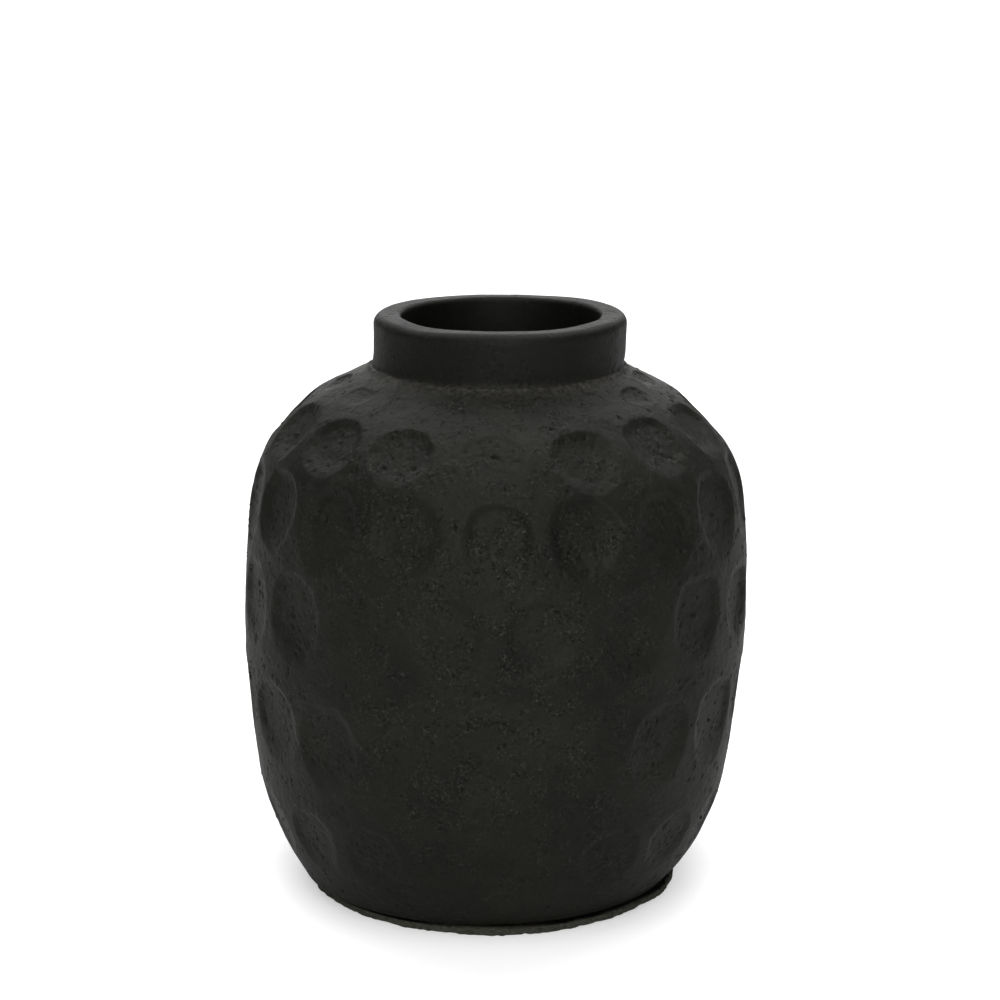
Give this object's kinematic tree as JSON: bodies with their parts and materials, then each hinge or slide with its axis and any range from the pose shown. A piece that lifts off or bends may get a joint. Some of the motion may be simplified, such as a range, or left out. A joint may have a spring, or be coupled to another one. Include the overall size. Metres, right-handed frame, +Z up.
{
  "type": "clay pot",
  "caption": "Round hand-built black clay pot with thumb-pressed rows, a short neck with a soft-edged lip and a felt pad under its base.",
  "frame": {"origin": "centre of the felt pad's underside, on the surface the pot stands on", "axes": "+Z up along the pot's axis to the mouth; -Y is the front, where one mark of the shoulder row is centred"},
  "size_m": [0.1798, 0.18, 0.2064],
  "materials": {
    "black_clay": "matte",
    "felt": "matte"
  },
  "bodies": {
    "root": {"felt_pad": "felt", "floor_slab": "black_clay", "foot_coil": "black_clay", "lower_belly_coil": "black_clay", "upper_belly_coil": "black_clay", "shoulder_coil": "black_clay", "throat_coil": "black_clay", "neck_collar": "black_clay", "rim_coil": "black_clay"}
  },
  "joints": []
}
